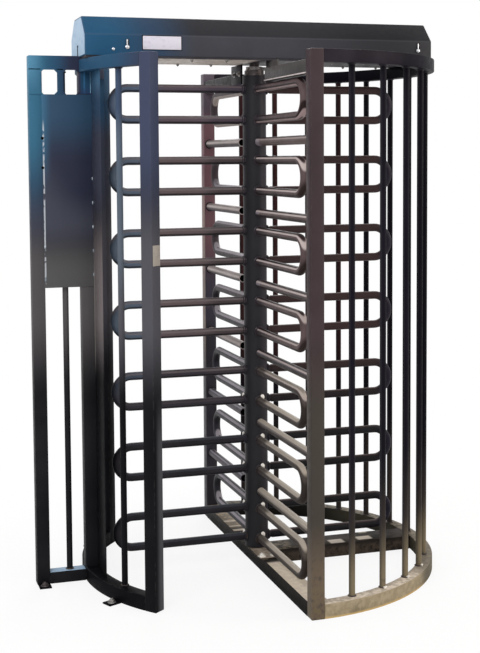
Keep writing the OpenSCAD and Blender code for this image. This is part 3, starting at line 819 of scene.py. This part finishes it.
stamped("blank_plate_rivets", rivet, [at(PLATE_X + x, HEADER_FRONT - PLATE_SIZE[2], PLATE_Z + z)
                                      @ UPRIGHT_TO_FRONT for x in (-RIVET_X, RIVET_X)
                                      for z in (-RIVET_Z, RIVET_Z)],
        bright_steel, "frame")

# cap on the left end, painted pale blue as a painted sky reflection, with the notch that a
# cable runs through, painted dark as its shade
half = abs(HEADER_FRONT) - CAP_INSET
top = HEADER_FACE + HEADER_SLOPE - CAP_INSET
slope = HEADER_SLOPE - CAP_INSET / 2
outline = [(-half, 0.004), (half, 0.004), (half, HEADER_FACE - 0.002), (half - slope, top),
           (-half + slope, top), (-half, HEADER_FACE - 0.002)]
cap = bmesh.new()
cap.faces.new([cap.verts.new((0, y, COVER_Z + z)) for y, z in outline])
shell = bmesh.ops.extrude_face_region(cap, geom=cap.faces[:])["geom"]
bmesh.ops.translate(cap, vec=(-CAP_SHEET, 0, 0),
                    verts=[v for v in shell if isinstance(v, bmesh.types.BMVert)])
finish("header_end_cap", moved(cap, at(-HEADER_END, 0, 0)), sky_end_coat, "frame")
notch = moved(block((0.002, 0.012, 0.042), 0.0008),
              at(-HEADER_END - CAP_SHEET, 0.006, COVER_Z + NOTCH_Z))
stamp(notch, pattern_mesh(block((0.002, 0.020, 0.008), 0.0008)),
      [at(-HEADER_END - CAP_SHEET, 0.002, COVER_Z + HOOK_Z)])
finish("header_end_notch", notch, dark_paint_and_shade, "frame")

# ---------------------------------------------------------------- panel details
# the band of sheet round the windows: above them, left of them, a mullion, an edge and filled
# corners
band_left, band_right = -PANEL_X - POST_W / 2, -RING_R + POST_W / 2
band_top = PANEL_RAIL_Z - BAND_LAP
band = bmesh.new()
for x0, x1, z0, z1 in ((band_left, band_right, band_top, PANEL_TOP - 0.001),
                       (band_left, WINDOWS[0][0], WINDOW_Z, PANEL_RAIL_Z),
                       (WINDOWS[0][1], WINDOWS[1][0], WINDOW_Z, PANEL_RAIL_Z),
                       (band_right - BAND_EDGE, band_right, WINDOW_Z, PANEL_RAIL_Z)):
    stamp(band, pattern_mesh(block((x1 - x0, BAND_DEEP, z1 - z0), 0.0001, 1)),
          [at((x0 + x1) / 2, BAND_Y, (z0 + z1) / 2)])
for x0, x1 in WINDOWS:
    for x, z, degrees in ((x0, WINDOW_Z, 0), (x0, band_top, 90), (x1, band_top, 180),
                          (x1, WINDOW_Z, -90)):
        stamp(band, window_corner(x, z, degrees), [IN_PLACE])
finish("panel_window_band", band, panel_coat, "frame")

# the third window has the inner post close behind it: a sheet painted blue there as a painted
# sky reflection in the pocket, and its lip, painted pale as a painted highlight
pocket = moved(block(POCKET_SIZE, 0.0004, 1),
               at(POCKET_X, -POST_W / 2 - 0.0004, WINDOW_Z + THIRD_WINDOW_Z))
finish("panel_window_pocket", pocket, pocket_coat, "frame")
lip = moved(block(LIP_SIZE, 0.0006), at(LIP_X, SHEET_FRONT + 0.0008, WINDOW_Z + THIRD_WINDOW_Z))
finish("panel_window_lip", lip, lip_coat, "frame")

# tack welds along both edges of the sheet, and screws along the left one
tacks = bmesh.new()
tack = drop(0.0042, (1.0, 0.4, 1.9))
for x, heights in (RIGHT_TACKS, LEFT_TACKS):
    stamp(tacks, tack, [at(x, SHEET_FRONT, z) for z in heights])
finish("panel_sheet_tacks", tacks, chipped_edge, "frame")
screw = pattern_mesh(turned_part([(0.0, 0.0030), (0.0040, 0.0026), (0.0062, 0.0)], 16))
stamped("panel_sheet_screws", screw, [at(SCREWS[0], SHEET_FRONT, z) @ UPRIGHT_TO_FRONT
                                      for z in SCREWS[1]], dark_paint_and_shade, "frame")

# a thin strip on the lower lip of the front top rail, painted pale as a painted highlight of
# sunlight
rail_lip = moved(block((RAIL_LIP_W, POST_IN - RAIL_END, RAIL_LIP_H), 0.0012),
                 at(RAIL_LIP_X, -(POST_IN + RAIL_END) / 2, RAIL_LIP_Z))
finish("front_top_rail_highlight_strip", rail_lip, pale_edge, "frame")

# ---------------------------------------------------------------- stage
floor_mesh = bmesh.new()
bmesh.ops.create_grid(floor_mesh, x_segments=1, y_segments=1, size=30)
mesh = bpy.data.meshes.new("studio_floor")
floor_mesh.to_mesh(mesh)
floor_mesh.free()
floor = bpy.data.objects.new("studio_floor", mesh)
bpy.context.scene.collection.objects.link(floor)
floor_paint = bpy.data.materials.new("pale_studio_floor")
floor_paint.use_nodes = True
tree = floor_paint.node_tree
floor_shader = tree.nodes["Principled BSDF"]
floor_shader.inputs["Base Color"].default_value = linear("#f6f6f6")
floor_shader.inputs["Roughness"].default_value = 0.95
floor_shader.inputs["Specular IOR Level"].default_value = 0.0
# the camera sees it white, with a trace of the object's soft shadow close round it
middle = add(tree, "ShaderNodeTexCoord", {}, "Object")
distance = add(tree, "ShaderNodeVectorMath", {0: middle}, "Value", operation="LENGTH")
fade = add(tree, "ShaderNodeMapRange", {0: distance, 1: SHADOW_FADE[0], 2: SHADOW_FADE[1],
                                        3: NEAR_WHITE, 4: 1.0}, interpolation_type="SMOOTHSTEP")
camera_ray = add(tree, "ShaderNodeLightPath", {}, "Is Camera Ray")
cover = add(tree, "ShaderNodeMath", {0: fade, 1: camera_ray}, operation="MULTIPLY")
white = add(tree, "ShaderNodeEmission", {0: linear("#ffffff"), 1: 1.0})
faded = add(tree, "ShaderNodeMixShader", {0: cover, 1: floor_shader.outputs[0], 2: white})
tree.links.new(faded, tree.nodes["Material Output"].inputs[0])
mesh.materials.append(floor_paint)

# a sky that is white to the eye and in reflections, and dimmer as a light
world = bpy.data.worlds.new("studio")
bpy.context.scene.world = world
world.use_nodes = True
tree = world.node_tree
tree.nodes.clear()
seen = add(tree, "ShaderNodeLightPath", {}, "Is Camera Ray")
for kind in ("Is Glossy Ray", "Is Transmission Ray"):
    ray = add(tree, "ShaderNodeLightPath", {}, kind)
    seen = add(tree, "ShaderNodeMath", {0: seen, 1: ray}, operation="MAXIMUM")
strength = add(tree, "ShaderNodeMapRange", {0: seen, 3: AMBIENT, 4: 1.0})
sky = add(tree, "ShaderNodeBackground", {0: linear("#ffffff"), 1: strength})
world_out = tree.nodes.new("ShaderNodeOutputWorld")
tree.links.new(sky, world_out.inputs[0])


def softbox(name, place, aim, size, power, colour):
    """A square soft light aimed at a point."""
    lamp = bpy.data.lights.new(name, "AREA")
    lamp.size = size
    lamp.energy = power
    lamp.color = linear(colour)[:3]
    holder = bpy.data.objects.new(name, lamp)
    bpy.context.scene.collection.objects.link(holder)
    holder.location = place
    holder.rotation_euler = (Vector(aim) - Vector(place)).to_track_quat("-Z", "Y").to_euler()


softbox("key_light", (-3.5, -4.0, 4.6), (0, 0, 1.1), 3.0, 150, "#ffffff")
softbox("right_light", (4.2, -2.4, 2.8), (0, 0, 1.0), 2.4, 90, "#fff4e6")
softbox("back_light", (1.0, 4.6, 4.2), (0, 0, 1.2), 3.0, 110, "#ffffff")

# ---------------------------------------------------------------- camera
camera_data = bpy.data.cameras.new("camera")
camera = bpy.data.objects.new("camera", camera_data)
bpy.context.scene.collection.objects.link(camera)
bpy.context.scene.camera = camera
forward = Vector((-math.sin(YAW) * math.cos(PITCH), math.cos(YAW) * math.cos(PITCH),
                  -math.sin(PITCH)))
level_right = Vector((math.cos(YAW), math.sin(YAW), 0))
level_up = level_right.cross(forward)
right = level_right * math.cos(ROLL) + level_up * math.sin(ROLL)
up = level_up * math.cos(ROLL) - level_right * math.sin(ROLL)
camera.matrix_world = at(*CAMERA_AT) @ Matrix((right, up, -forward)).transposed().to_4x4()
camera_data.lens = LENS
camera_data.shift_y = SHIFT_UP
camera_data.clip_end = 100
bpy.context.scene.view_settings.view_transform = "Standard"
